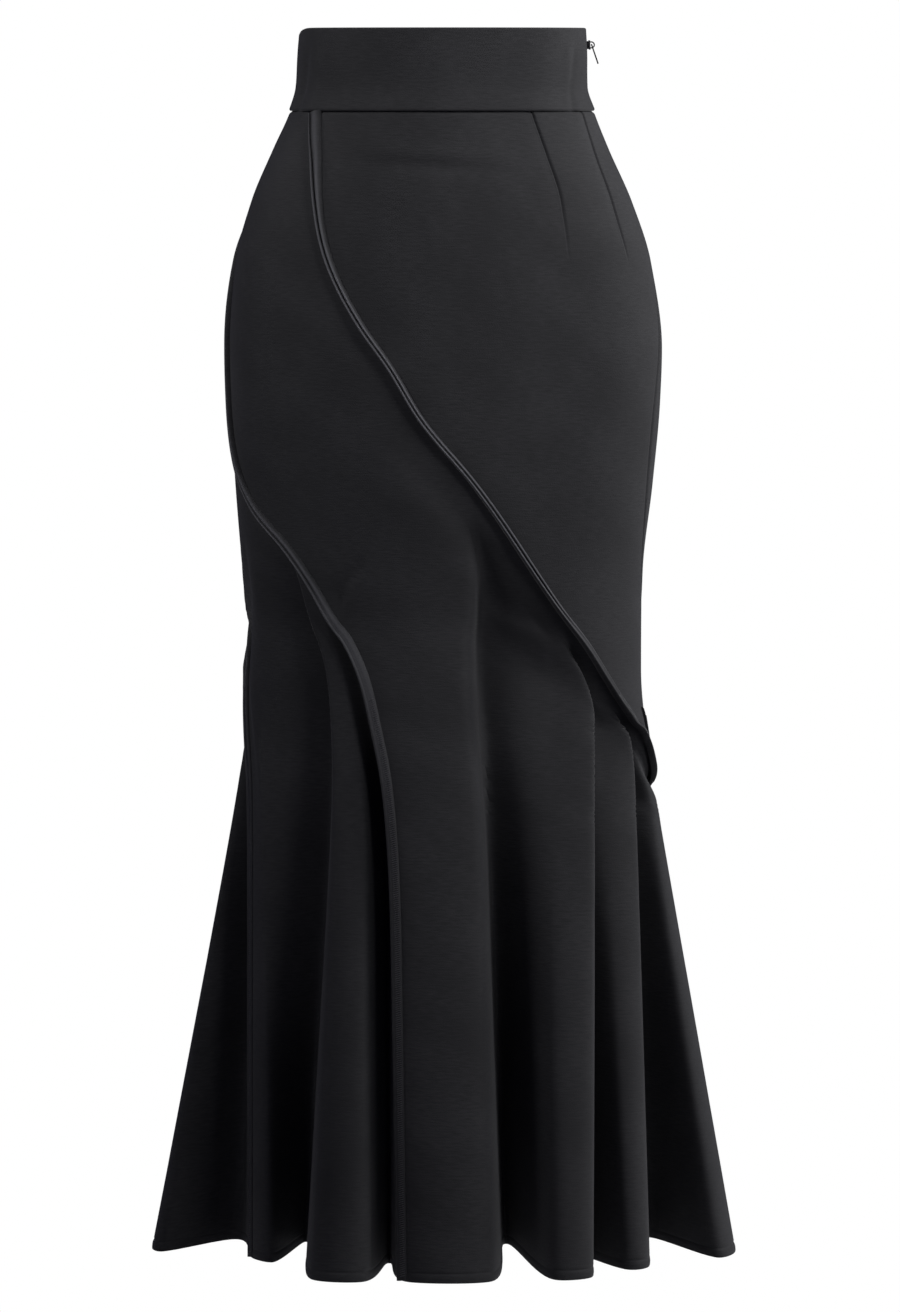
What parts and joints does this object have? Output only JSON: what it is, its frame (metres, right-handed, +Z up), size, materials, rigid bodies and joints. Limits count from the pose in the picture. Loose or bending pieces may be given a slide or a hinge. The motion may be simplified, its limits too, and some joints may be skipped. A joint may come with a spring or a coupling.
{
  "type": "mermaid fishtail skirt",
  "caption": "High-waisted mermaid skirt with spiral panels, raised seams, a side zip and a folded fishtail hem, in the hollow form it has when worn.",
  "frame": {"origin": "middle of the waist, halfway up the waistband, on the vertical axis of the body", "axes": "+Z up, the front faces -Y, +X is the wearer's left"},
  "size_m": [0.4375, 0.4198, 0.9176],
  "materials": {
    "crepe": "matte black stretch crepe of medium weight with a fine crosswise grain",
    "zip_tape": "black woven zip tape with a closed coil chain",
    "zip_metal": "black enamel, satin"
  },
  "bodies": {
    "skirt": {"waistband_front": "crepe", "waistband_back": "crepe", "front_wrap_panel": "crepe", "front_panel": "crepe", "left_panel": "crepe", "back_panel": "crepe", "raised_seam_wrap": "crepe", "raised_seam_front": "crepe", "raised_seam_left": "crepe", "zip_tape": "zip_tape", "zip_slider": "zip_metal"},
    "zip_pull": {"zip_pull_tab": "zip_metal"}
  },
  "joints": [
    {"name": "zip_pull_hinge", "type": "hinge", "parent": "skirt", "child": "zip_pull", "pos_m": [0.11159, 0, 0.01829], "axis": [0, -1, 0], "range_deg": [-17, 150]}
  ]
}
